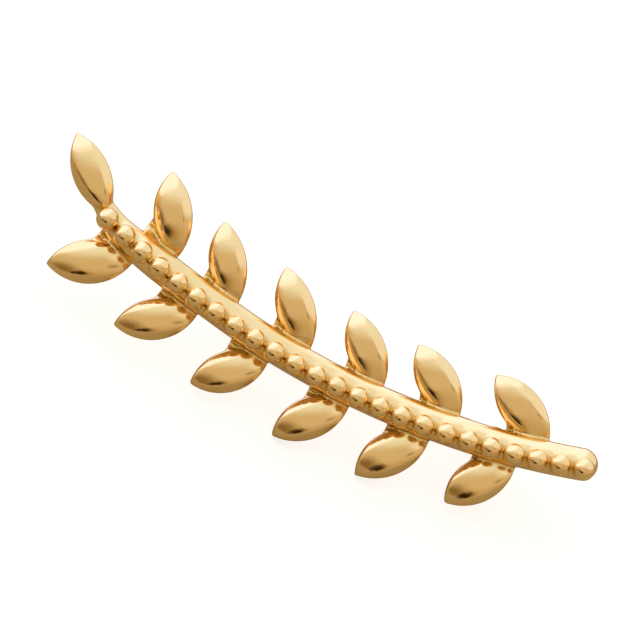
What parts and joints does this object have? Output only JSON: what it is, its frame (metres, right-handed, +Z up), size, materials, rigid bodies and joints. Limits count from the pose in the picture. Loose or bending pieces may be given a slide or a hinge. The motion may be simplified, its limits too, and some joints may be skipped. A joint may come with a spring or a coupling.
{
  "type": "ear climber",
  "caption": "Gold ear climber: a curved leafy sprig with a row of round beads along its stem and a plain wire behind.",
  "frame": {"origin": "centre of the footprint, on the surface the climber leans back on", "axes": "+X runs along the climber, with the tail at the right; +Y points away from the viewer; +Z is up"},
  "size_m": [0.0248, 0.0056, 0.0061],
  "materials": {
    "gold": "polished",
    "gold_beads": "polished",
    "gold_wire": "polished"
  },
  "bodies": {
    "root": {"sprig": "gold", "ear_wire": "gold_wire", "bead_01": "gold_beads", "bead_02": "gold_beads", "bead_03": "gold_beads", "bead_04": "gold_beads", "bead_05": "gold_beads", "bead_06": "gold_beads", "bead_07": "gold_beads", "bead_08": "gold_beads", "bead_09": "gold_beads", "bead_10": "gold_beads", "bead_11": "gold_beads", "bead_12": "gold_beads", "bead_13": "gold_beads", "bead_14": "gold_beads", "bead_15": "gold_beads", "bead_16": "gold_beads", "bead_17": "gold_beads", "bead_18": "gold_beads", "bead_19": "gold_beads", "bead_20": "gold_beads", "bead_21": "gold_beads", "bead_22": "gold_beads", "bead_23": "gold_beads", "bead_24": "gold_beads"}
  },
  "joints": []
}
